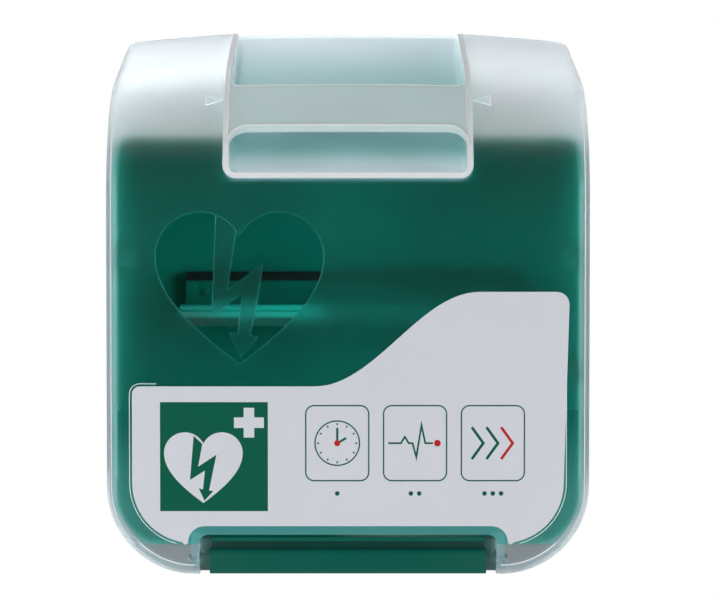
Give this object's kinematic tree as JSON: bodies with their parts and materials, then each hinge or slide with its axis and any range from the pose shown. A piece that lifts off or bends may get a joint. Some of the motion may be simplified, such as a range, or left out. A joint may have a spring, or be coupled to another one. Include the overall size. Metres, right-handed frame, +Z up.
{
  "type": "defibrillator wall cabinet",
  "caption": "Wall cabinet for a defibrillator: a frosted cover with a recessed grip, hinged at the bottom, closes over a green tray with a shelf and an opening alarm.",
  "frame": {"origin": "middle of the wall screw holes, on the back face that lies on the wall", "axes": "+X to the right seen from the front, +Y into the wall, +Z up"},
  "size_m": [0.38, 0.1964, 0.4369],
  "materials": {
    "green_shell": "moulded, fine satin grain",
    "frosted_cover": "frosted see-through polycarbonate with a polished heart",
    "label_sheet": "satin printed film",
    "steel": "zinc plated",
    "magnet": "nickel plated",
    "rubber_mat": "ribbed matte rubber",
    "pale_plastic": "satin moulded",
    "black_plastic": "satin moulded",
    "circuit_board": "solder mask",
    "battery_sleeve": "shrink sleeve",
    "red_plastic": "moulded"
  },
  "bodies": {
    "base": {"base_tray": "green_shell", "hinge_bar": "green_shell", "hinge_screws": "steel", "hinge_rod": "steel", "rod_caps": "steel", "device_shelf": "green_shell", "shelf_mat": "rubber_mat", "shelf_screws": "steel", "catch_magnets": "magnet", "reed_switch": "pale_plastic", "alarm_housing": "pale_plastic", "alarm_screws": "steel", "alarm_board": "circuit_board", "sounder": "black_plastic", "battery_cradle": "black_plastic", "battery_contacts": "steel", "batteries": "battery_sleeve", "alarm_lid": "pale_plastic", "lid_screws": "steel"},
    "front_cover": {"cover": "frosted_cover", "hinge_ears": "frosted_cover", "handle": "frosted_cover", "label": "label_sheet", "cover_brackets": "green_shell", "catch_plates": "steel", "switch_magnet": "green_shell"},
    "alarm_door": {"battery_door": "pale_plastic"},
    "alarm_switch": {"power_slider": "red_plastic"}
  },
  "joints": [
    {"name": "cover_hinge", "type": "hinge", "parent": "base", "child": "front_cover", "pos_m": [0, -0.18275, -0.208], "axis": [1, 0, 0], "range_deg": [0, 100]},
    {"name": "battery_door_hinge", "type": "hinge", "parent": "base", "child": "alarm_door", "pos_m": [0.091, -0.0461, -0.1577], "axis": [1, 0, 0], "range_deg": [0, 100]},
    {"name": "power_slide", "type": "slide", "parent": "base", "child": "alarm_switch", "axis": [1, 0, 0], "range_m": [0, 0.004]}
  ]
}
